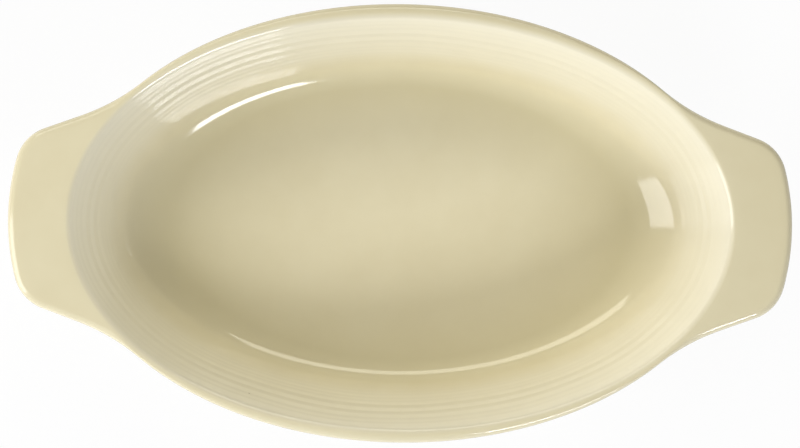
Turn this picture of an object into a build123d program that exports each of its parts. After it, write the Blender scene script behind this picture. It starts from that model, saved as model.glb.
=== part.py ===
from build123d import *
import os
from math import asin, atan2, cos, hypot, pi, radians, sin, sqrt, tan

# An oval gratin dish in glazed stoneware, with a broad flat ear at each end.
# It is pressed and fired as one piece of clay, so the clay is one solid. The glaze is a
# skin of glass over it, which stops above the foot so that the dish can stand in the kiln.
# The origin is on the table under the middle of the dish. X runs from ear to ear.

# Plan of the rim and the ears
overall_length = 250.0
oval_length = 212.8
oval_width = 139.8
ear_end_width = 52.6
ear_taper = 20.0
ear_end_radius = 75.0
ear_corner_radius = 14.0
ear_root_radius = 68.0

# Rim and ears in section
overall_height = 40.0
rim_depth = 5.2
rim_edge_radius = 2.3
under_rim_radius = 4.0

# Bowl in section, with the glaze on
wall_thickness = 4.2
wall_thinning = 0.9
floor_length = 149.2
floor_width = 89.2
end_cove_radius = 22.0
side_cove_radius = 9.0
crest_length = 213.6
crest_width = 134.6
end_roll_radius = 2.2
side_roll_radius = 2.6

# Foot
foot_height = 1.8
foot_root_height = 2.4
foot_width = 3.8
foot_draft = 0.5
foot_edge_bevel = 0.4

# Glaze
glaze_thickness = 0.4
glaze_line_height = 1.0

floor_height = foot_height + wall_thickness
rim_underside = overall_height - rim_depth
loft_steps = 14


class WallSection:
    """Half of the dish's section on one axis: flat floor, cove, straight wall, rim roll.

    The wall is the straight line that touches both the cove's arc and the roll's arc.
    A skin is a depth taken off every face, which leaves the clay under the glaze.
    """

    def __init__(self, floor_half, cove_radius, crest_half, roll_radius):
        self.cove_x = floor_half
        self.cove_z = floor_height + cove_radius
        self.cove_radius = cove_radius
        self.roll_x = crest_half
        self.roll_z = overall_height - roll_radius
        self.roll_radius = roll_radius
        across = self.roll_x - self.cove_x
        up = self.roll_z - self.cove_z
        self.lean = atan2(up, across) + asin((cove_radius + roll_radius) / hypot(across, up))

    def inside(self, z, skin):
        """How far out the inner face is at height z."""
        cove = self.cove_radius + skin
        roll = self.roll_radius - skin
        if z >= self.roll_z + roll * cos(self.lean):
            return self.roll_x - sqrt(max(0, roll**2 - (z - self.roll_z) ** 2))
        return self.below_roll(z, cove)

    def outside(self, z, skin):
        """How far out the outer face is at height z. The wall thins towards the rim."""
        thinned = wall_thinning * max(0, z - floor_height) / (rim_underside - floor_height)
        return self.below_roll(z, self.cove_radius + wall_thickness - skin) - thinned

    def height_outside(self, reach, skin):
        """How high the outer cove is where it has come out this far."""
        cove = self.cove_radius + wall_thickness - skin
        return self.cove_z - sqrt(cove**2 - (reach - self.cove_x) ** 2)

    def below_roll(self, z, cove):
        """How far out a cove of this radius, or the straight wall above it, is at height z."""
        cove_top = self.cove_z - cove * cos(self.lean)
        if z <= cove_top:
            return self.cove_x + sqrt(max(0, cove**2 - (self.cove_z - z) ** 2))
        return self.cove_x + cove * sin(self.lean) + (z - cove_top) / tan(self.lean)


end_section = WallSection(floor_length / 2, end_cove_radius, crest_length / 2, end_roll_radius)
side_section = WallSection(floor_width / 2, side_cove_radius, crest_width / 2, side_roll_radius)


def oval_loft(low, high, reach_along, reach_across):
    """A solid through level ovals, set closest together at its two ends."""
    with BuildPart() as body:
        for step in range(loft_steps + 1):
            z = low + (high - low) * (1 - cos(pi * step / loft_steps)) / 2
            with BuildSketch(Plane.XY.offset(z)):
                Ellipse(reach_along(z), reach_across(z))
        loft()
    return body.part


def rim_and_ears(skin):
    """The level plate of rim and ears, round at its edge, before the bowl is hollowed."""
    slope = radians(ear_taper)
    arc_centre = overall_length / 2 - ear_end_radius
    end_radius = ear_end_radius - skin
    flank_x = arc_centre + sqrt(ear_end_radius**2 - (ear_end_width / 2) ** 2) - skin * sin(slope)
    flank_y = ear_end_width / 2 - skin * cos(slope)
    along = (flank_x - arc_centre) * cos(slope) - flank_y * sin(slope)
    short = (flank_x - arc_centre) ** 2 + flank_y**2 - end_radius**2
    slide = sqrt(along**2 - short) - along
    tip_x = flank_x + slide * cos(slope)
    tip_y = flank_y - slide * sin(slope)
    root_x = oval_length / 4
    root_y = tip_y + (tip_x - root_x) * tan(slope)
    with BuildPart() as plate:
        with BuildSketch(Plane.XY.offset(rim_underside + skin)):
            Ellipse(oval_length / 2 - skin, oval_width / 2 - skin)
            with BuildLine():
                Line((root_x, -root_y), (root_x, root_y))
                Line((root_x, root_y), (tip_x, tip_y))
                ThreePointArc((tip_x, tip_y), (overall_length / 2 - skin, 0), (tip_x, -tip_y))
                Line((tip_x, -tip_y), (root_x, -root_y))
            make_face()
            mirror(about=Plane.YZ)
        extrude(amount=rim_depth - 2 * skin)
        upright = plate.edges().filter_by(Axis.Z).group_by(lambda edge: round(abs(edge.center().X)))
        fillet(upright[0], ear_root_radius + skin)
        upright = plate.edges().filter_by(Axis.Z).group_by(lambda edge: round(abs(edge.center().X)))
        fillet(upright[-1], ear_corner_radius - skin)
        level = plate.faces().filter_by(Axis.Z)
        fillet(level.edges(), rim_edge_radius - skin)
    return plate.part


def foot_and_bowl(skin):
    """The bowl's outside, solid, on the low foot that the dish stands on."""
    root_across = side_section.outside(foot_root_height, 0) - skin
    root_height = side_section.height_outside(root_across, skin)
    foot_along = end_section.outside(root_height, skin)
    foot_across = side_section.outside(root_height, skin)
    recess = foot_width - 2 * skin + foot_draft
    with BuildPart() as bowl:
        with BuildSketch():
            Ellipse(foot_along - foot_draft, foot_across - foot_draft)
        with BuildSketch(Plane.XY.offset(root_height)):
            Ellipse(foot_along, foot_across)
        loft()
        with BuildSketch():
            Ellipse(foot_along - recess, foot_across - recess)
        extrude(amount=foot_height + skin, mode=Mode.SUBTRACT)
        ground = bowl.faces().sort_by(Axis.Z)[0]
        chamfer(ground.edges(), foot_edge_bevel)
        add(
            oval_loft(
                root_height,
                rim_underside + rim_depth / 4 + skin,
                lambda z: end_section.outside(z, skin),
                lambda z: side_section.outside(z, skin),
            )
        )
    return bowl.part


def dish_form(skin):
    """The whole dish with this depth taken off every face but the one it stands on."""
    hollow = oval_loft(
        floor_height - skin,
        overall_height - skin,
        lambda z: end_section.inside(z, skin),
        lambda z: side_section.inside(z, skin),
    )
    with BuildPart() as dish:
        add(rim_and_ears(skin))
        add(foot_and_bowl(skin))
        flank = dish.faces().filter_by(lambda face: face.center().Z < rim_underside).sort_by(SortBy.AREA)[-1]
        under_rim = flank.edges().filter_by(lambda edge: edge.center().Z > rim_underside - rim_depth / 4)
        fillet(under_rim, under_rim_radius + skin)
        add(hollow, mode=Mode.SUBTRACT)
    return dish.part


# The clay body: bowl, rim, ears and foot in one pressed piece
with BuildPart() as stoneware_body:
    add(dish_form(glaze_thickness))

# All the glaze: what the glazed dish has above the glaze line and the clay has not
with BuildPart() as glaze:
    add(dish_form(0))
    split(bisect_by=Plane.XY.offset(glaze_line_height))
    add(stoneware_body.part, mode=Mode.SUBTRACT)
glaze_pieces = glaze.solids().sort_by(SortBy.VOLUME)

# The coat over the inside, the rim, the ears and the outside, down to the foot
with BuildPart() as glaze_coat:
    add(glaze_pieces[-1])

# The glaze on the underside, inside the foot
with BuildPart() as base_glaze:
    add(glaze_pieces[0])

os.makedirs("parts", exist_ok=True)
stoneware_body.part.label = "stoneware_body"
export_step(stoneware_body.part, "parts/stoneware_body.step")
glaze_coat.part.label = "glaze_coat"
export_step(glaze_coat.part, "parts/glaze_coat.step")
base_glaze.part.label = "base_glaze"
export_step(base_glaze.part, "parts/base_glaze.step")

for piece in (stoneware_body, glaze_coat, base_glaze):
    print(piece.part.label, round(piece.part.volume), "cubic mm,", len(piece.solids()), "solid")
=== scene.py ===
# %% [markdown]
# # An oval gratin dish in cream glazed stoneware
# The real dish is pressed from one lump of clay, dipped in glaze and fired once more. The
# CAD model holds three solids: the clay, the coat of glaze over it and the patch of glaze
# under its base. This script dresses that model. Blender's glaze is a finer skin than the
# CAD one, because a glossy surface shows every facet in its reflections.

from math import atan2, cos, pi, radians, sin, sqrt

import bpy
import bmesh
from mathutils import Matrix, Vector


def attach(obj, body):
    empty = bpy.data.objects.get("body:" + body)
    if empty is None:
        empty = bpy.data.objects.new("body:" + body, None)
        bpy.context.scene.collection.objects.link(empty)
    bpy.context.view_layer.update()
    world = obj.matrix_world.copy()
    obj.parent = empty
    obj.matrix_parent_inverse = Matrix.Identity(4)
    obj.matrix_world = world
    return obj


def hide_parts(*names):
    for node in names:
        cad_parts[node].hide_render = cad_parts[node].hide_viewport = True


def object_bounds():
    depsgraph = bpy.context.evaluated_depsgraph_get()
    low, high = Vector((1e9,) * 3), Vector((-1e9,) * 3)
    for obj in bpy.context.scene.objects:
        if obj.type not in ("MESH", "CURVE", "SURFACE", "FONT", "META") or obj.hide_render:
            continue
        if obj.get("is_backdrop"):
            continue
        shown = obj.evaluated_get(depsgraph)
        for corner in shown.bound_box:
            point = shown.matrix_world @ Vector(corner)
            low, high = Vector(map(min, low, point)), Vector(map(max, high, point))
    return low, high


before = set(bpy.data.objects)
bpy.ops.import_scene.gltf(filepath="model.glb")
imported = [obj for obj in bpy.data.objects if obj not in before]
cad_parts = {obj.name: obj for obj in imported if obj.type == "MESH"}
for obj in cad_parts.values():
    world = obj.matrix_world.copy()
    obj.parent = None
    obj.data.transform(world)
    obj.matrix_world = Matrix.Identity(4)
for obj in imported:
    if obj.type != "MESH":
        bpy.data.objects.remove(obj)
cad_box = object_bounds()


def in_mm(point):
    return [round(1000 * value, 2) for value in point]


print("pieces in the packed dish:", sorted(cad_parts))
print("CAD box in mm:", [in_mm(corner) for corner in cad_box])

# %% [markdown]
# ## The sizes that a potter would cut templates from
# Two templates make this dish: one for its outline, seen from above, and one for the wall,
# seen in section. The wall is steeper along the sides than at the ends, so it has a section
# for each. The sizes are in metres and are the same as in the CAD.

# %% Sizes of the dish
MM = 0.001
OVAL = (106.4 * MM, 69.9 * MM)
OVERALL_HALF = 125 * MM
EAR_END_HALF = 26.3 * MM
EAR_TAPER = radians(20)
EAR_END_RADIUS = 75 * MM
EAR_CORNER_RADIUS = 14 * MM
EAR_ROOT_RADIUS = 68 * MM
LEAST_FLAT_RIM = 0.3 * MM
UNDER_RIM_HOLLOW = 2.47 * MM

SIZES = {
    "Height": 40 * MM,
    "Rim depth": 5.2 * MM,
    "Rim edge": 2.3 * MM,
    "Wall": 4.2 * MM,
    "Wall thinning": 0.9 * MM,
    "Foot height": 1.8 * MM,
    "Foot root": 2.4 * MM,
    "Foot draft": 0.5 * MM,
    "Glaze line": 1.0 * MM,
    "Glaze depth": 0.4 * MM,
    "Oval half length": OVAL[0],
    "Oval half width": OVAL[1],
    "End floor": 74.6 * MM,
    "End cove": 22.0 * MM,
    "End crest": 106.8 * MM,
    "End roll": 2.2 * MM,
    "Side floor": 44.6 * MM,
    "Side cove": 9.0 * MM,
    "Side crest": 67.3 * MM,
    "Side roll": 2.6 * MM,
}
print("sizes set:", len(SIZES))

# %% [markdown]
# ## The outline template
# Seen from above, the rim is an oval. Each end carries a flat ear with a gently bowed end,
# rounded corners and sides that sweep into the oval on a wide arc. The outline could be
# drawn by eye with a Bezier curve, but arcs that touch each other exactly give a cleaner
# reflection along the edge. So each arc's centre is worked out. The sweep has no plain
# formula, so its place on the oval is halved in on until the arc just touches the ear.


# %% Find where the arcs of the outline touch
def oval_point(turn):
    return Vector((OVAL[0] * cos(turn), OVAL[1] * sin(turn)))


def oval_outward(turn):
    return Vector((cos(turn) / OVAL[0], sin(turn) / OVAL[1])).normalized()


end_centre = Vector((OVERALL_HALF - EAR_END_RADIUS, 0))
flank_start = end_centre + Vector((sqrt(EAR_END_RADIUS**2 - EAR_END_HALF**2), EAR_END_HALF))
flank_outward = Vector((sin(EAR_TAPER), cos(EAR_TAPER)))


def gap_to_flank(point):
    """How far a point is outside the straight side of the ear."""
    return (point - flank_start).dot(flank_outward)


low, high = radians(5), radians(80)
for _ in range(60):
    sweep_turn = (low + high) / 2
    sweep_centre = oval_point(sweep_turn) + EAR_ROOT_RADIUS * oval_outward(sweep_turn)
    if gap_to_flank(sweep_centre) > EAR_ROOT_RADIUS:
        high = sweep_turn
    else:
        low = sweep_turn
print("sweep meets the oval at mm:", in_mm(oval_point(sweep_turn)))

corner_line = flank_start - EAR_CORNER_RADIUS * flank_outward
along = Vector((flank_outward.y, -flank_outward.x))
offset = corner_line - end_centre
reach = EAR_END_RADIUS - EAR_CORNER_RADIUS
half = offset.dot(along)
corner_centre = corner_line + along * (sqrt(half**2 - offset.length_squared + reach**2) - half)
print("corner centre at mm:", in_mm(corner_centre))

# %% [markdown]
# ## Walk round the template
# The curve goes round the end, the corner, the sweep and the oval. One quarter is enough,
# because the other three are its mirrors. The points lie closer on the tight arcs, so that
# no corner looks cut.


# %% Walk round the outline
ARC_STEPS, OVAL_STEPS = 24, 60


def arc_points(centre, radius, start, stop, steps):
    turns = [start + (stop - start) * step / steps for step in range(steps)]
    return [centre + radius * Vector((cos(turn), sin(turn))) for turn in turns]


def quarter_outline():
    corner_turn = atan2(corner_centre.y, corner_centre.x - end_centre.x)
    flank_turn = atan2(flank_outward.y, flank_outward.x)
    oval_turn = atan2(*reversed(oval_outward(sweep_turn)))
    points = arc_points(end_centre, EAR_END_RADIUS, 0, corner_turn, ARC_STEPS)
    points += arc_points(corner_centre, EAR_CORNER_RADIUS, corner_turn, flank_turn, ARC_STEPS)
    back_turns = (flank_turn + pi, oval_turn + pi)
    points += arc_points(sweep_centre, EAR_ROOT_RADIUS, *back_turns, ARC_STEPS)
    left_over = pi / 2 - sweep_turn
    turns = [sweep_turn + left_over * step / OVAL_STEPS for step in range(OVAL_STEPS)]
    return points + [oval_point(turn) for turn in turns]


quarter = quarter_outline()
left = [Vector((-point.x, point.y)) for point in reversed(quarter[1:])]
upper = quarter + [Vector((0, OVAL[1]))] + left + [Vector((-OVERALL_HALF, 0))]
outline = upper + [Vector((point.x, -point.y)) for point in reversed(upper[1:-1])]

template = bpy.data.curves.new("rim_template", "CURVE")
template.dimensions = "3D"
spline = template.splines.new("POLY")
spline.points.add(len(outline) - 1)
for place, point in zip(spline.points, outline):
    place.co = (point.x, point.y, 0, 1)
spline.use_cyclic_u = True
print("outline points:", len(outline), "length mm:", round(1000 * spline.calc_length(), 1))

# %% [markdown]
# ## Writing a rule in nodes
# The skin of the dish is one rule: how far out the face is, at each height and each turn.
# A rule of that kind takes a few hundred Math nodes. Placing them one by one would hide the
# rule, so this small class lets the script write it as ordinary sums. Each + or * adds a
# Math node to the tree.


# %% Sums that become Math nodes
def feed(tree, value, socket):
    if isinstance(value, Term):
        tree.links.new(value.socket, socket)
    else:
        socket.default_value = value


class Term:
    """A number inside a node tree."""

    def __init__(self, tree, socket):
        self.tree = tree
        self.socket = socket

    def math(self, operation, *others):
        node = self.tree.nodes.new("ShaderNodeMath")
        node.operation = operation
        for socket, value in zip(node.inputs, (self, *others)):
            feed(self.tree, value, socket)
        return Term(self.tree, node.outputs[0])

    def __add__(self, other):
        return self.math("ADD", other)

    def __sub__(self, other):
        return self.math("SUBTRACT", other)

    def __mul__(self, other):
        return self.math("MULTIPLY", other)

    def __truediv__(self, other):
        return self.math("DIVIDE", other)

    def root(self):
        return self.math("MAXIMUM", 0.0).math("SQRT")

    def least(self, other):
        return self.math("MINIMUM", other)

    def most(self, other):
        return self.math("MAXIMUM", other)


def one_minus(term):
    return (term * -1.0) + 1.0


def blend(start, end, share):
    """From start to end by share. At least one of the first two is a Term."""
    if isinstance(start, Term):
        return start + (start * -1.0 + end) * share
    return (end - start) * share + start


def where_less(first, second, then, otherwise):
    """One of two numbers, picked by whether first is less than second."""
    return blend(otherwise, then, first.math("LESS_THAN", second))


print("helpers for rules are ready")

# %% [markdown]
# ## The wall's section as a rule
# In section the inside is a flat floor, a cove, a straight wall and a small roll at the
# crest. The outside follows it a wall's thickness away. The straight wall touches both arcs,
# so its lean follows from where they are. The "skin" is a depth taken off every face: with
# zero the rule gives the face of the glaze, and with the glaze's depth it gives the clay.


# %% The section of one axis
class Section:
    """The ends' or the sides' section, written in nodes."""

    def __init__(self, size, axis):
        self.floor = size[axis + " floor"]
        self.cove = size[axis + " cove"]
        self.crest = size[axis + " crest"]
        self.roll = size[axis + " roll"]
        self.wall = size["Wall"]
        self.floor_height = size["Foot height"] + size["Wall"]
        self.top = size["Height"]
        self.under = self.top - size["Rim depth"]
        self.thinning = size["Wall thinning"]
        across = self.crest - self.floor
        up = (self.top - self.roll) - (self.floor_height + self.cove)
        span = (across * across + up * up).root()
        self.lean = up.math("ARCTAN2", across) + ((self.cove + self.roll) / span).math("ARCSINE")
        self.lean_cos = self.lean.math("COSINE")
        self.lean_sin = self.lean.math("SINE")

    def below_roll(self, height, cove):
        lift = height - (self.floor_height + self.cove - cove)
        cove_lift = cove * one_minus(self.lean_cos)
        on_cove = (lift * (cove * 2.0 - lift)).root()
        on_wall = cove * self.lean_sin + (lift - cove_lift) * self.lean_cos / self.lean_sin
        return self.floor + where_less(lift, cove_lift, on_cove, on_wall)

    def inside(self, height, skin):
        roll = self.roll - skin
        drop = (self.top - skin) - height
        on_roll = self.crest - (drop * (roll * 2.0 - drop)).root()
        below = self.below_roll(height, self.cove + skin)
        return where_less(drop, roll * one_minus(self.lean_cos), on_roll, below)

    def outside(self, height, skin):
        """The outer face. The wall thins a little towards the rim."""
        share = ((height - self.floor_height) / (self.under - self.floor_height)).most(0.0)
        return self.below_roll(height, self.cove + self.wall - skin) - self.thinning * share


print("section rule is ready")

# %% [markdown]
# ## The skin of the dish in bands
# The skin could be one spun profile, but the ears are not round, so no spin makes them.
# Here it is laid as bands: floor, cove, wall, crest, rim, edge, underside, outer wall and
# foot. Each band is a grid. Its columns go round the outline and its rows follow the
# section, so the reflections run along clean lines. Every band ends exactly where the next
# starts, and Merge by Distance welds them.


# %% A band of the skin
def new_node(tree, kind, **inputs):
    node = tree.nodes.new(kind)
    for name, value in inputs.items():
        feed(tree, value, node.inputs[name.replace("_", " ")])
    return node


class Column:
    """Where one column of the grid stands: on the outline, and turned like the oval."""

    def __init__(self, tree, outline_socket, size, across):
        sample = tree.nodes.new("GeometryNodeSampleCurve")
        sample.mode = "FACTOR"
        tree.links.new(outline_socket, sample.inputs["Curves"])
        feed(tree, across, sample.inputs["Factor"])
        place = new_node(tree, "ShaderNodeSeparateXYZ")
        tree.links.new(sample.outputs["Position"], place.inputs[0])
        heading = new_node(tree, "ShaderNodeSeparateXYZ")
        tree.links.new(sample.outputs["Tangent"], heading.inputs[0])
        self.x, self.y = Term(tree, place.outputs[0]), Term(tree, place.outputs[1])
        self.out_x = Term(tree, heading.outputs[1])
        self.out_y = Term(tree, heading.outputs[0]) * -1.0
        turn_x = self.x / size["Oval half length"]
        turn_y = self.y / size["Oval half width"]
        length = (turn_x * turn_x + turn_y * turn_y).root()
        self.turn_x = turn_x / length
        self.turn_y = turn_y / length


def lay_band(tree, outline_socket, size, columns, rows, rule, thinness_and_painted_light):
    """One band as a grid, put in place by rule and marked with glaze thinness and painted light.
    """
    grid = new_node(tree, "GeometryNodeMeshGrid", Size_X=1.0, Size_Y=1.0)
    feed(tree, columns, grid.inputs["Vertices X"])
    feed(tree, rows, grid.inputs["Vertices Y"])
    place = tree.nodes.new("GeometryNodeInputPosition")
    split = tree.nodes.new("ShaderNodeSeparateXYZ")
    tree.links.new(place.outputs[0], split.inputs[0])
    across = Term(tree, split.outputs[0]) + 0.5
    down = Term(tree, split.outputs[1]) + 0.5
    column = Column(tree, outline_socket, size, across)
    point = tree.nodes.new("ShaderNodeCombineXYZ")
    for socket, value in zip(point.inputs, rule(column, down)):
        feed(tree, value, socket)
    # This share is how thin the glaze runs, and also painted light and shade: low in the cove to
    # paint its shade, high on the wall and crest to paint light.
    mark = tree.nodes.new("GeometryNodeStoreNamedAttribute")
    mark.data_type = "FLOAT"
    mark.domain = "POINT"
    mark.inputs["Name"].default_value = "thin_glaze_and_painted_light"
    tree.links.new(grid.outputs["Mesh"], mark.inputs["Geometry"])
    feed(tree, thinness_and_painted_light(down), mark.inputs["Value"])
    move = tree.nodes.new("GeometryNodeSetPosition")
    tree.links.new(mark.outputs["Geometry"], move.inputs["Geometry"])
    tree.links.new(point.outputs[0], move.inputs["Position"])
    return move.outputs["Geometry"]


print("band helper is ready")

# %% [markdown]
# ## The rules of the bands
# Each rule takes a column and how far down the band a point is, from 0 to 1, and gives the
# point's place. The rows are set closer where a band bends. The rim is narrower beside the
# ears than along the sides, so its edge rounds over less of it there.


# %% Rules for the inside and the crest
class SkinRules:
    def __init__(self, size, skin):
        self.size = size
        self.skin = skin
        self.end = Section(size, "End")
        self.side = Section(size, "Side")
        self.floor_height = self.end.floor_height - skin
        self.top = size["Height"] - skin
        self.under = size["Height"] - size["Rim depth"] + skin
        self.cove_top = self.end.floor_height + self.end.cove * one_minus(self.end.lean_cos)
        self.roll_foot = size["Height"] - self.end.roll * one_minus(self.end.lean_cos)

    def level(self, column, height, face):
        reach_x = getattr(self.end, face)(height, self.skin)
        reach_y = getattr(self.side, face)(height, self.skin)
        return reach_x * column.turn_x, reach_y * column.turn_y, height

    def floor(self, column, down):
        share = down * self.end.floor * column.turn_x
        return share, down * self.side.floor * column.turn_y, self.floor_height

    def cove(self, column, down):
        rise = one_minus((down * (pi / 2)).math("COSINE"))
        return self.level(column, blend(self.floor_height, self.cove_top, rise), "inside")

    def wall(self, column, down):
        return self.level(column, blend(self.cove_top, self.roll_foot, down), "inside")

    def crest(self, column, down):
        rise = (down * (pi / 2)).math("SINE")
        return self.level(column, blend(self.roll_foot, self.top, rise), "inside")


print("inside rules are ready")


# %% Rules for the rim and the outside
class OuterRules(SkinRules):
    def crest_point(self, column):
        return self.end.crest * column.turn_x, self.side.crest * column.turn_y

    def edge_reach(self, column):
        """How far in from the outline the edge starts to round, at the top."""
        crest_x, crest_y = self.crest_point(column)
        inset = (column.x - crest_x) * column.out_x + (column.y - crest_y) * column.out_y
        return (inset - LEAST_FLAT_RIM).least(self.size["Rim edge"])

    def under_reach(self, column):
        """The same under the rim, where the wall may leave less room."""
        x, y, _ = self.level(column, self.under, "outside")
        inset = (column.x - x) * column.out_x + (column.y - y) * column.out_y
        return (inset * 0.55).least(self.size["Rim edge"])

    def inset_point(self, column, inset):
        return column.x - column.out_x * inset, column.y - column.out_y * inset

    def rim(self, column, down):
        crest_x, crest_y = self.crest_point(column)
        x, y = self.inset_point(column, self.edge_reach(column))
        return blend(crest_x, x, down), blend(crest_y, y, down), self.top

    def edge(self, column, down):
        turn = down * pi
        drop = turn.math("COSINE")
        reach = where_less(down, 0.5, self.edge_reach(column), self.under_reach(column))
        inset = self.skin + (reach - self.skin) * one_minus(turn.math("SINE"))
        x, y = self.inset_point(column, inset)
        middle = (self.top + self.under) * 0.5
        return x, y, middle + (self.top - middle) * drop

    def fillet_ends(self, column):
        """Where the hollow under the rim starts, turns and ends."""
        edge_x, edge_y = self.inset_point(column, self.under_reach(column))
        turn_x, turn_y, _ = self.level(column, self.under, "outside")
        gap_x, gap_y = edge_x - turn_x, edge_y - turn_y
        gap = (gap_x * gap_x + gap_y * gap_y).root()
        length = (gap * 0.9).least(UNDER_RIM_HOLLOW)
        start = (turn_x + gap_x * length / gap, turn_y + gap_y * length / gap)
        return (edge_x, edge_y), start, (turn_x, turn_y), self.under - length * 0.9

    def underside(self, column, down):
        edge, start, _, _ = self.fillet_ends(column)
        return blend(edge[0], start[0], down), blend(edge[1], start[1], down), self.under

    def under_rim(self, column, down):
        _, start, turn, low = self.fillet_ends(column)
        low_x, low_y, _ = self.level(column, low, "outside")
        stages = [(start[0], turn[0], low_x), (start[1], turn[1], low_y)]
        stages.append((self.under, self.under, low))
        return [
            blend(blend(first, middle, down), blend(middle, last, down), down)
            for first, middle, last in stages
        ]

    def outer_wall(self, column, down):
        _, _, _, low = self.fillet_ends(column)
        rise = one_minus((one_minus(down) * (pi / 2)).math("COSINE"))
        return self.level(column, blend(self.size["Foot root"], low, rise), "outside")

    def foot(self, column, down):
        root = self.size["Foot root"]
        x, y, _ = self.level(column, root, "outside")
        height = blend(root, self.size["Glaze line"], down)
        draft = self.size["Foot draft"] * (root - height) / root
        return x - column.turn_x * draft, y - column.turn_y * draft, height


print("rim and outside rules are ready")

# %% [markdown]
# ## One tree for the coat of glaze
# The coat is a closed skin of glass: its face, the face that it shares with the clay, and
# the thin ring where it stops above the foot. Both faces come from the same group, once
# with no skin and once with the glaze's depth taken off and turned to face the clay. The
# hidden face needs far fewer rows.

# %% How many rows each band has, and how thin the glaze runs on it, with painted shade and light mixed in
COLUMNS = 481
CLAY_SIDE_ROWS = 0.4
# These shares are partly the glaze's real run and partly painted light and shade: the low share at
# the cove paints its shade deeper, and the high shares on the wall and at the crest paint light on
# them.
IN_COVE, AS_LAID, ON_RIM, UNDER_RIM = 0.18, 0.35, 0.32, 0.4
ON_WALL, AT_CREST, AT_STOP = 0.6, 0.8, 0.65


def thinning(start, end):
    """Thin glaze and painted light go evenly up or down, from the first row to the last."""
    return lambda down: down * (end - start) + start


BANDS = [
    ("floor", 12, lambda down: one_minus(down * down * down) * (AS_LAID - IN_COVE) + IN_COVE),
    ("cove", 20, lambda down: down * down * (ON_WALL - IN_COVE) + IN_COVE),
    ("wall", 8, thinning(ON_WALL, AT_CREST)),
    ("crest", 10, thinning(AT_CREST, ON_RIM)),
    ("rim", 9, thinning(ON_RIM, ON_RIM)),
    ("edge", 18, thinning(ON_RIM, ON_WALL)),
    ("underside", 6, thinning(ON_WALL, UNDER_RIM)),
    ("under_rim", 8, thinning(UNDER_RIM, ON_WALL)),
    ("outer_wall", 22, thinning(ON_WALL, AS_LAID)),
    ("foot", 3, thinning(AS_LAID, AT_STOP)),
]
print("rows in all the bands:", sum(rows for _, rows, _ in BANDS))


# %% The group that lays one face
def size_sockets(tree, defaults):
    for name, value in defaults.items():
        kind = "NodeSocketInt" if isinstance(value, int) else "NodeSocketFloat"
        socket = tree.interface.new_socket(name, in_out="INPUT", socket_type=kind)
        socket.default_value = value


face_group = bpy.data.node_groups.new("Face of the dish", "GeometryNodeTree")
face_group.interface.new_socket("Outline", in_out="INPUT", socket_type="NodeSocketGeometry")
size_sockets(face_group, SIZES | {"Skin": 0.0, "Columns": COLUMNS, "Row share": 1.0})
face_group.interface.new_socket("Face", in_out="OUTPUT", socket_type="NodeSocketGeometry")
given = face_group.nodes.new("NodeGroupInput")
size = {socket.name: Term(face_group, socket) for socket in given.outputs if socket.name}
rules = OuterRules(size, size["Skin"])
joined = face_group.nodes.new("GeometryNodeJoinGeometry")
for name, rows, thinness_and_painted_light in BANDS:
    count = (size["Row share"] * rows).math("ROUND").most(1.0) + 1.0
    layout = (given.outputs["Outline"], size, size["Columns"], count)
    band = lay_band(face_group, *layout, getattr(rules, name), thinness_and_painted_light)
    face_group.links.new(band, joined.inputs[0])
taken = face_group.nodes.new("NodeGroupOutput")
face_group.links.new(joined.outputs[0], taken.inputs[0])
print("nodes in the face group:", len(face_group.nodes))

# %% The tree of the coat
coat_tree = bpy.data.node_groups.new("Coat of glaze", "GeometryNodeTree")
coat_tree.interface.new_socket("Outline", in_out="INPUT", socket_type="NodeSocketGeometry")
size_sockets(coat_tree, SIZES | {"Columns": COLUMNS})
coat_tree.interface.new_socket("Finish", in_out="INPUT", socket_type="NodeSocketMaterial")
coat_tree.interface.new_socket("Coat", in_out="OUTPUT", socket_type="NodeSocketGeometry")
coat_given = coat_tree.nodes.new("NodeGroupInput")
coat_join = coat_tree.nodes.new("GeometryNodeJoinGeometry")


def lay_face(skin, row_share):
    face = coat_tree.nodes.new("GeometryNodeGroup")
    face.node_tree = face_group
    coat_tree.links.new(coat_given.outputs["Outline"], face.inputs["Outline"])
    for name in SIZES:
        coat_tree.links.new(coat_given.outputs[name], face.inputs[name])
    coat_tree.links.new(coat_given.outputs["Columns"], face.inputs["Columns"])
    feed(coat_tree, skin, face.inputs["Skin"])
    face.inputs["Row share"].default_value = row_share
    return face.outputs["Face"]


clay_side = coat_tree.nodes.new("GeometryNodeFlipFaces")
glaze_depth = Term(coat_tree, coat_given.outputs["Glaze depth"])
coat_tree.links.new(lay_face(glaze_depth, CLAY_SIDE_ROWS), clay_side.inputs[0])
coat_tree.links.new(lay_face(0.0, 1.0), coat_join.inputs[0])
coat_tree.links.new(clay_side.outputs[0], coat_join.inputs[0])
print("both faces are laid")

# %% [markdown]
# ## Close the coat and finish the tree
# The two faces are still apart where the glaze stops above the foot. One more band, only
# one row deep, joins them. Merge by Distance then welds the bands, whose edges already meet,
# and the last nodes smooth the shading, realize the mesh and set its finish.

# %% The ring at the glaze line, and the end of the tree
coat_sizes = {socket.name: Term(coat_tree, socket) for socket in coat_given.outputs if socket.name}
inner_rules = OuterRules(coat_sizes, coat_sizes["Glaze depth"])
outer_rules = OuterRules(coat_sizes, coat_sizes["Glaze depth"] * 0.0)


def glaze_stop(column, down):
    """The ring where the coat ends above the foot, from its face to the clay."""
    ended = down * 0.0 + 1.0
    face = outer_rules.foot(column, ended)
    clay = inner_rules.foot(column, ended)
    return [blend(start, end, down) for start, end in zip(face, clay)]


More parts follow.
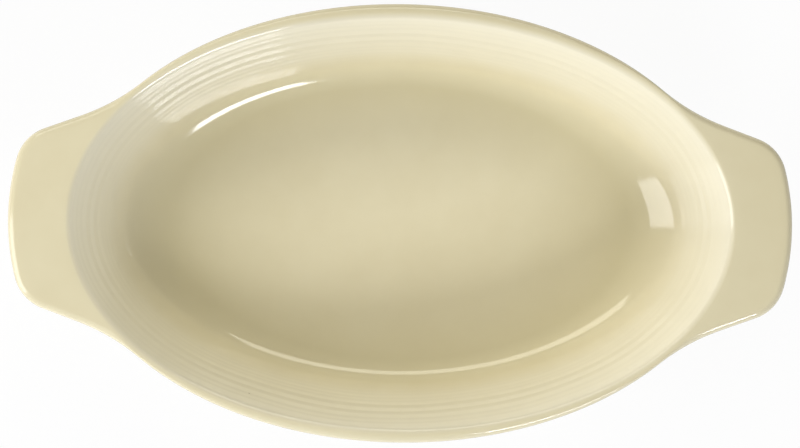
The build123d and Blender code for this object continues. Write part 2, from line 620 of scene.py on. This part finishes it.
layout = (coat_given.outputs["Outline"], coat_sizes, coat_sizes["Columns"], 2)
stop_band = lay_band(coat_tree, *layout, glaze_stop, thinning(AT_CREST, AT_CREST))
coat_tree.links.new(stop_band, coat_join.inputs[0])
weld = new_node(coat_tree, "GeometryNodeMergeByDistance", Distance=0.002 * MM)
smooth = coat_tree.nodes.new("GeometryNodeSetShadeSmooth")
realize = coat_tree.nodes.new("GeometryNodeRealizeInstances")
finish = coat_tree.nodes.new("GeometryNodeSetMaterial")
coat_taken = coat_tree.nodes.new("NodeGroupOutput")
chain = [coat_join, weld, smooth, realize, finish, coat_taken]
for first, second in zip(chain, chain[1:]):
    coat_tree.links.new(first.outputs[0], second.inputs[0])
coat_tree.links.new(coat_given.outputs["Finish"], finish.inputs["Material"])
print("nodes in the coat's tree:", len(coat_tree.nodes))

# %% [markdown]
# ## Effects that the finishes share
# Glaze and fired clay look alive because nothing in them is quite even. Four small groups
# hold those effects, so that every finish on the dish can use them with its own strength:
# a slow drift of tone, fine specks, a soft unevenness of the surface, and the faint rings
# that forming leaves on the wall.


# %% Helpers for the effect groups
def effect_group(name, inputs, outputs):
    group = bpy.data.node_groups.new(name, "ShaderNodeTree")
    for label, value in inputs.items():
        kind = "NodeSocketVector" if label == "Place" else "NodeSocketFloat"
        if isinstance(value, tuple) and len(value) == 4:
            kind = "NodeSocketColor"
        socket = group.interface.new_socket(label, in_out="INPUT", socket_type=kind)
        if value is not None:
            socket.default_value = value
    for label, kind in outputs.items():
        group.interface.new_socket(label, in_out="OUTPUT", socket_type=kind)
    return group, group.nodes.new("NodeGroupInput"), group.nodes.new("NodeGroupOutput")


def noise_term(group, place, scale, detail):
    noise = group.nodes.new("ShaderNodeTexNoise")
    group.links.new(place, noise.inputs["Vector"])
    feed(group, scale, noise.inputs["Scale"])
    noise.inputs["Detail"].default_value = detail
    return Term(group, noise.outputs["Fac"])


print("effect helpers are ready")

# %% The drift of tone
drift, drift_in, drift_out = effect_group(
    "Tone drift",
    {"Place": None, "Light tone": (1, 1, 1, 1), "Deep tone": (1, 1, 1, 1), "Scale": 12.0},
    {"Tone": "NodeSocketColor", "Drift": "NodeSocketFloat"},
)
scale = Term(drift, drift_in.outputs["Scale"])
broad = noise_term(drift, drift_in.outputs["Place"], scale, 2.0)
close = noise_term(drift, drift_in.outputs["Place"], scale * 7.0, 3.0)
mixed = (broad * 0.7 + close * 0.3 - 0.35).math("MULTIPLY", 3.3).most(0.0).least(1.0)
tones = drift.nodes.new("ShaderNodeMix")
tones.data_type = "RGBA"
drift.links.new(mixed.socket, tones.inputs["Factor"])
drift.links.new(drift_in.outputs["Light tone"], tones.inputs["A"])
drift.links.new(drift_in.outputs["Deep tone"], tones.inputs["B"])
drift.links.new(tones.outputs["Result"], drift_out.inputs["Tone"])
drift.links.new(mixed.socket, drift_out.inputs["Drift"])
print("built", drift.name, "with", len(drift.nodes), "nodes")

# %% [markdown]
# ## Specks and pinholes
# Dots could be painted on one by one, but a Voronoi texture already scatters one point in
# every cell. A share of the cells is picked by their own random colour, and a dot is drawn
# round the point of each.

# %% The fine specks
specks, specks_in, specks_out = effect_group(
    "Fine specks",
    {"Place": None, "Scale": 90.0, "Size": 0.06, "Share": 0.1},
    {"Speck": "NodeSocketFloat"},
)
cells = specks.nodes.new("ShaderNodeTexVoronoi")
specks.links.new(specks_in.outputs["Place"], cells.inputs["Vector"])
specks.links.new(specks_in.outputs["Scale"], cells.inputs["Scale"])
draw = specks.nodes.new("ShaderNodeSeparateColor")
specks.links.new(cells.outputs["Color"], draw.inputs[0])
chosen = Term(specks, draw.outputs[0]).math("LESS_THAN", Term(specks, specks_in.outputs["Share"]))
dot_size = Term(specks, specks_in.outputs["Size"])
spread = (dot_size - Term(specks, cells.outputs["Distance"])) / dot_size
dot = spread.most(0.0).math("SMOOTH_MIN", 0.6, 0.2) * 1.6 * chosen
specks.links.new(dot.least(1.0).socket, specks_out.inputs["Speck"])
print("built", specks.name, "with", len(specks.nodes), "nodes")

# %% [markdown]
# ## Unevenness and rings
# Two noises at different scales make the surface softly uneven. The rings are a noise too,
# but it reads the height alone, so it is the same all round the dish. It starts above the
# cove, and a slow wander keeps the rings from being perfectly level.

# %% The soft unevenness
uneven, uneven_in, uneven_out = effect_group(
    "Soft unevenness",
    {"Place": None, "Scale": 40.0, "Fine share": 0.1},
    {"Height": "NodeSocketFloat"},
)
scale = Term(uneven, uneven_in.outputs["Scale"])
slow = noise_term(uneven, uneven_in.outputs["Place"], scale, 1.0)
fine = noise_term(uneven, uneven_in.outputs["Place"], scale * 9.0, 2.0)
height = blend(slow, fine, Term(uneven, uneven_in.outputs["Fine share"]))
uneven.links.new(height.socket, uneven_out.inputs["Height"])
print("built", uneven.name, "with", len(uneven.nodes), "nodes")

# %% The forming rings
RING_WANDER = 4 * MM
RINGS_FADE_IN = 160.0

rings, rings_in, rings_out = effect_group(
    "Forming rings",
    {"Place": None, "Rings per metre": 95.0, "From height": 0.013},
    {"Height": "NodeSocketFloat"},
)
split = rings.nodes.new("ShaderNodeSeparateXYZ")
rings.links.new(rings_in.outputs["Place"], split.inputs[0])
upright = Term(rings, split.outputs[2])
wander = noise_term(rings, rings_in.outputs["Place"], 16.0, 1.0)
ring = rings.nodes.new("ShaderNodeTexNoise")
ring.noise_dimensions = "1D"
ring.inputs["Detail"].default_value = 0.0
turns = (upright + wander * RING_WANDER) * Term(rings, rings_in.outputs["Rings per metre"])
rings.links.new(turns.socket, ring.inputs["W"])
lift = upright - Term(rings, rings_in.outputs["From height"])
started = (lift * RINGS_FADE_IN).most(0.0).least(1.0)
rings.links.new((Term(rings, ring.outputs["Fac"]) * started).socket, rings_out.inputs["Height"])
print("built", rings.name, "with", len(rings.nodes), "nodes")

# %% [markdown]
# ## The cream glaze
# The glaze is a layer of glass over pale clay. It pools in the cove, where it is a deeper,
# yellower cream, and runs thin on the steep wall, where it is nearly white. These colours
# are also painted light: the deeper cream paints the shade of the cove, and the near white
# paints light on the wall. The coat carries both as an attribute, "thin_glaze_and_painted_light",
# which the tree stored from the rule. Its gloss is high and nearly even, with a very soft
# unevenness that makes reflected lights wander, faint rings from the forming, and here and
# there a pinhole where a bubble burst in the kiln.


# %% Helpers for the finishes
def linear(red, green, blue):
    """A colour read from a screen, as the light that Blender counts in."""
    parts = [value / 255 for value in (red, green, blue)]
    parts = [p / 12.92 if p <= 0.04045 else ((p + 0.055) / 1.055) ** 2.4 for p in parts]
    return (*parts, 1.0)


def use_group(tree, group, place, **values):
    node = tree.nodes.new("ShaderNodeGroup")
    node.node_tree = group
    tree.links.new(place, node.inputs["Place"])
    for name, value in values.items():
        node.inputs[name.replace("_", " ")].default_value = value
    return node


def colour_mix(tree, share, first, second):
    node = tree.nodes.new("ShaderNodeMix")
    node.data_type = "RGBA"
    feed(tree, share, node.inputs["Factor"])
    for socket, value in ((node.inputs["A"], first), (node.inputs["B"], second)):
        if isinstance(value, bpy.types.NodeSocket):
            tree.links.new(value, socket)
        else:
            socket.default_value = value
    return node.outputs["Result"]


print("finish helpers are ready")

# %% Build the glaze
GLASS_IOR = 1.52
GLAZE_ROUGHNESS = 0.075
RELIEF_DEPTH = 0.12 * MM
RING_STRENGTH = 1.2
PINHOLE_BROWN = linear(120, 98, 70)


def glaze_finish(name, pooled, light, deep, thin):
    """A glaze from four colours: pooled, which also paints the cove's shade, the two that it
    drifts between, and run thin, which also paints light on the wall.
    """
    material = bpy.data.materials.new(name)
    material.use_nodes = True
    tree = material.node_tree
    shader = tree.nodes["Principled BSDF"]
    place = tree.nodes.new("ShaderNodeTexCoord").outputs["Object"]
    tone = use_group(tree, drift, place, Light_tone=light, Deep_tone=deep, Scale=14.0)
    pinholes = use_group(tree, specks, place, Scale=105.0, Size=0.045, Share=0.035)
    surface = use_group(tree, uneven, place, Scale=38.0, Fine_share=0.03)
    stored = tree.nodes.new("ShaderNodeAttribute")
    stored.attribute_name = "thin_glaze_and_painted_light"
    thinness_and_painted_light = Term(tree, stored.outputs["Fac"])
    # A low share goes to the pooled cream, a painted shade in the cove; a high share goes to the
    # thin near white, a painted light on the wall and crest.
    laid_on = colour_mix(tree, (thinness_and_painted_light / AS_LAID).least(1.0), pooled, tone.outputs["Tone"])
    whitening_with_painted_light = ((thinness_and_painted_light - AS_LAID) / (1 - AS_LAID)).most(0.0)
    bare = colour_mix(tree, whitening_with_painted_light, laid_on, thin)
    speck = Term(tree, pinholes.outputs["Speck"])
    colour = colour_mix(tree, speck * 0.5, bare, PINHOLE_BROWN)
    tree.links.new(colour, shader.inputs["Base Color"])
    rough = Term(tree, tone.outputs["Drift"]) * 0.03 + GLAZE_ROUGHNESS + speck * 0.2
    tree.links.new(rough.socket, shader.inputs["Roughness"])
    shader.inputs["IOR"].default_value = GLASS_IOR
    formed = use_group(tree, rings, place)
    bump = tree.nodes.new("ShaderNodeBump")
    bump.inputs["Distance"].default_value = RELIEF_DEPTH
    ring_height = Term(tree, formed.outputs["Height"]) * RING_STRENGTH
    relief = Term(tree, surface.outputs["Height"]) + ring_height
    tree.links.new((relief - speck * 0.35).socket, bump.inputs["Height"])
    tree.links.new(bump.outputs["Normal"], shader.inputs["Normal"])
    return material


# The pooled colour is also the cove's painted shade, and the thin colour the wall's painted light.
cream_glaze = glaze_finish(
    "cream_glaze",
    pooled=linear(214, 203, 160),
    light=linear(226, 217, 185),
    deep=linear(220, 210, 176),
    thin=linear(244, 240, 224),
)
print("glaze built with", len(cream_glaze.node_tree.nodes), "nodes")

# %% [markdown]
# ## Lay the coat
# The outline curve carries the tree as a modifier. Its inputs are set by the sockets'
# identifiers before Blender works the tree out. The result is kept as a plain mesh, and the
# curve with its modifier goes away.

# %% Turn the tree into a mesh
template_object = bpy.data.objects.new("rim_template", template)
bpy.context.scene.collection.objects.link(template_object)
modifier = template_object.modifiers.new("Coat of glaze", "NODES")
modifier.node_group = coat_tree
for item in coat_tree.interface.items_tree:
    if item.in_out == "INPUT" and item.name in SIZES:
        modifier[item.identifier] = SIZES[item.name]
    if item.in_out == "INPUT" and item.name == "Finish":
        modifier[item.identifier] = cream_glaze
laid = template_object.evaluated_get(bpy.context.evaluated_depsgraph_get())
coat_mesh = bpy.data.meshes.new_from_object(laid)
coat_mesh.name = "cream_coat"
bpy.data.objects.remove(template_object)
coat_mesh.set_sharp_from_angle(angle=radians(40))
cream_coat = bpy.data.objects.new("cream_coat", coat_mesh)
bpy.context.scene.collection.objects.link(cream_coat)
print("faces in the coat:", len(coat_mesh.polygons))

# %% [markdown]
# ## Check the coat and hand it over
# A skin that is closed has two faces at every edge. If its faces point outwards, its volume
# counts as more than zero. Both are measured here, before the coat takes the place of the
# CAD one.

# %% Measure the coat and put it in place
check = bmesh.new()
check.from_mesh(coat_mesh)
open_edges = [edge for edge in check.edges if not edge.is_manifold]
print("open edges:", len(open_edges))
print("volume in cubic mm:", round(check.calc_volume(signed=True) / MM**3))
check.free()

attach(cream_coat, "root")
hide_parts("glaze_coat")

# %% [markdown]
# ## The bare clay and the glaze under the base
# The dish stands in the kiln on its foot, so the foot is wiped clean of glaze and shows the
# bare stoneware: matt, buff, a little toasted, with dark iron specks and a sandy feel. The
# patch inside the foot is glazed, a shade deeper because it lies in a shallow pool. Both
# CAD solids have the right shape, so they keep it and only get their finish here.

# %% Build the bare clay
toasted_clay = bpy.data.materials.new("toasted_clay")
toasted_clay.use_nodes = True
clay_nodes = toasted_clay.node_tree
clay_shader = clay_nodes.nodes["Principled BSDF"]
clay_place = clay_nodes.nodes.new("ShaderNodeTexCoord").outputs["Object"]
buff = {"Light_tone": linear(205, 182, 146), "Deep_tone": linear(182, 152, 113)}
iron_brown = linear(96, 68, 46)
clay_tone = use_group(clay_nodes, drift, clay_place, Scale=35.0, **buff)
iron = use_group(clay_nodes, specks, clay_place, Scale=420.0, Size=0.2, Share=0.12)
iron_dot = Term(clay_nodes, iron.outputs["Speck"])
clay_colour = colour_mix(clay_nodes, iron_dot * 0.75, clay_tone.outputs["Tone"], iron_brown)
clay_nodes.links.new(clay_colour, clay_shader.inputs["Base Color"])
sand = use_group(clay_nodes, uneven, clay_place, Scale=260.0, Fine_share=0.55)
clay_rough = Term(clay_nodes, sand.outputs["Height"]) * 0.2 + 0.72
clay_nodes.links.new(clay_rough.socket, clay_shader.inputs["Roughness"])
clay_bump = clay_nodes.nodes.new("ShaderNodeBump")
clay_bump.inputs["Distance"].default_value = 0.15 * MM
clay_nodes.links.new(sand.outputs["Height"], clay_bump.inputs["Height"])
clay_nodes.links.new(clay_bump.outputs["Normal"], clay_shader.inputs["Normal"])
print("clay built with", len(clay_nodes.nodes), "nodes")

# %% Finish the base and hand out the finishes
pooled_glaze = glaze_finish(
    "pooled_glaze",
    pooled=linear(207, 195, 150),
    light=linear(214, 202, 166),
    deep=linear(203, 188, 150),
    thin=linear(214, 202, 166),
)


def refinish(node_name, material):
    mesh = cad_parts[node_name].data
    for place in range(len(mesh.materials)):
        mesh.materials[place] = material
    if not mesh.materials:
        mesh.materials.append(material)
    print(node_name, "is finished in", material.name)


refinish("stoneware_body", toasted_clay)
refinish("glaze_coat", cream_glaze)
refinish("base_glaze", pooled_glaze)

# %% [markdown]
# ## The table
# The photograph has a plain white ground. A flat white sheet under the dish gives it. Its
# material shows plain white to the camera and keeps a share of its own shading, so the dish
# still has a soft shadow. The sheet lies a hair below the foot, because two faces in exactly
# the same place flicker.

# %% Lay the table
table_mesh = bpy.data.meshes.new("table")
reach, below = 2.5, -0.05 * MM
corners = [(-reach, -reach, below), (reach, -reach, below)]
corners += [(reach, reach, below), (-reach, reach, below)]
table_mesh.from_pydata(corners, [], [(0, 1, 2, 3)])
table = bpy.data.objects.new("table", table_mesh)
bpy.context.scene.collection.objects.link(table)
white_sheet = bpy.data.materials.new("white_sheet")
white_sheet.use_nodes = True
sheet_nodes = white_sheet.node_tree
sheet_shader = sheet_nodes.nodes["Principled BSDF"]
sheet_shader.inputs["Base Color"].default_value = (0.82, 0.82, 0.82, 1)
sheet_shader.inputs["Roughness"].default_value = 0.9
plain_white = sheet_nodes.nodes.new("ShaderNodeEmission")
rays = sheet_nodes.nodes.new("ShaderNodeLightPath")
seen = Term(sheet_nodes, rays.outputs["Is Camera Ray"]) * 0.94
white_mix = sheet_nodes.nodes.new("ShaderNodeMixShader")
sheet_nodes.links.new(seen.socket, white_mix.inputs[0])
sheet_nodes.links.new(sheet_shader.outputs[0], white_mix.inputs[1])
sheet_nodes.links.new(plain_white.outputs[0], white_mix.inputs[2])
sheet_end = sheet_nodes.nodes["Material Output"]
sheet_nodes.links.new(white_mix.outputs[0], sheet_end.inputs["Surface"])
table_mesh.materials.append(white_sheet)
table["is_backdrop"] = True
print("table laid")

# %% [markdown]
# ## The lights
# The glaze mirrors the lights as streaks along its coves, and their place tells where the
# lamps stood: a softbox at the lower right, a tall upright one at the left, and a wide
# warm card at the top. Three area lamps repeat them.


# %% Set the lamps
def softbox(name, bearing, elevation, distance, width, height, power, tint, upright=False):
    """An area lamp that faces the dish. Bearing 0 is along +X and 90 along +Y."""
    across, up = radians(bearing), radians(elevation)
    direction = Vector((cos(up) * cos(across), cos(up) * sin(across), sin(up)))
    facing = Vector((direction.x, direction.y, 0)) if upright else direction
    lamp = bpy.data.lights.new(name, "AREA")
    lamp.shape = "RECTANGLE"
    lamp.size = width
    lamp.size_y = height
    lamp.energy = power
    lamp.color = tint
    holder = bpy.data.objects.new(name, lamp)
    holder.location = direction * distance
    holder.rotation_euler = facing.to_track_quat("Z", "Y").to_euler()
    bpy.context.scene.collection.objects.link(holder)
    print(name, "at", [round(value, 2) for value in holder.location])


softbox(
    "lower_right_softbox", bearing=-66, elevation=32, distance=1.0,
    width=0.34, height=0.24, power=5.2, tint=(0.98, 1.0, 1.04),
)
softbox(
    "left_softbox", bearing=-163.5, elevation=39, distance=0.9,
    width=0.415, height=1.02, power=6.3, tint=(1.0, 1.0, 1.0), upright=True,
)
softbox(
    "top_card", bearing=100, elevation=34, distance=1.1,
    width=1.2, height=0.35, power=5.6, tint=(1.04, 1.0, 0.86),
)

# %% [markdown]
# ## The room
# An even, dim white room fills the shadows. The camera sees it as plain white, so that the
# ground and what is behind it look alike from every side.

# %% Set the room
ROOM_LIGHT = 0.21
sky = bpy.data.worlds.new("pale_room")
sky.use_nodes = True
room = sky.node_tree.nodes["Background"]
room.inputs["Color"].default_value = (1, 1, 1, 1)
sky_rays = sky.node_tree.nodes.new("ShaderNodeLightPath")
strength = Term(sky.node_tree, sky_rays.outputs["Is Camera Ray"]).most(ROOM_LIGHT)
sky.node_tree.links.new(strength.socket, room.inputs["Strength"])
bpy.context.scene.world = sky
print("room set")

# %% [markdown]
# ## The camera
# The photograph is taken from almost straight above with a long lens, a little to the left
# of the dish, and the dish lies less than a degree off level in it. A long lens far away
# keeps the rim's oval nearly free of perspective.

# %% Place the camera
DISH_TURN = 0.856
camera = bpy.data.cameras.new("overhead_camera")
camera.sensor_width = 36
camera.lens = 134.5
camera.clip_start = 0.05
camera_holder = bpy.data.objects.new("overhead_camera", camera)
bpy.context.scene.collection.objects.link(camera_holder)
stand = Vector((-0.020, 0.0, 0.990))
aim = Vector((-0.0003, -0.0002, 0.036))
back = (stand - aim).normalized()
side = Vector((0, 1, 0)).cross(back).normalized()
turned = Matrix((side, back.cross(side), back)).transposed()
turned = turned @ Matrix.Rotation(radians(DISH_TURN), 3, "Z")
camera_holder.location = stand
camera_holder.rotation_euler = turned.to_euler()
print("camera stands at", [round(value, 3) for value in stand])
bpy.context.scene.camera = camera_holder
bpy.context.scene.view_settings.view_transform = "Standard"

# %% [markdown]
# ## Measure the size at the end
# Dressing the dish must not change its size. The script measures the box of the CAD model
# and of the dressed dish, and writes both down.

# %% Measure and finish
dressed_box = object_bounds()
print("dressed box in mm:", [in_mm(corner) for corner in dressed_box])
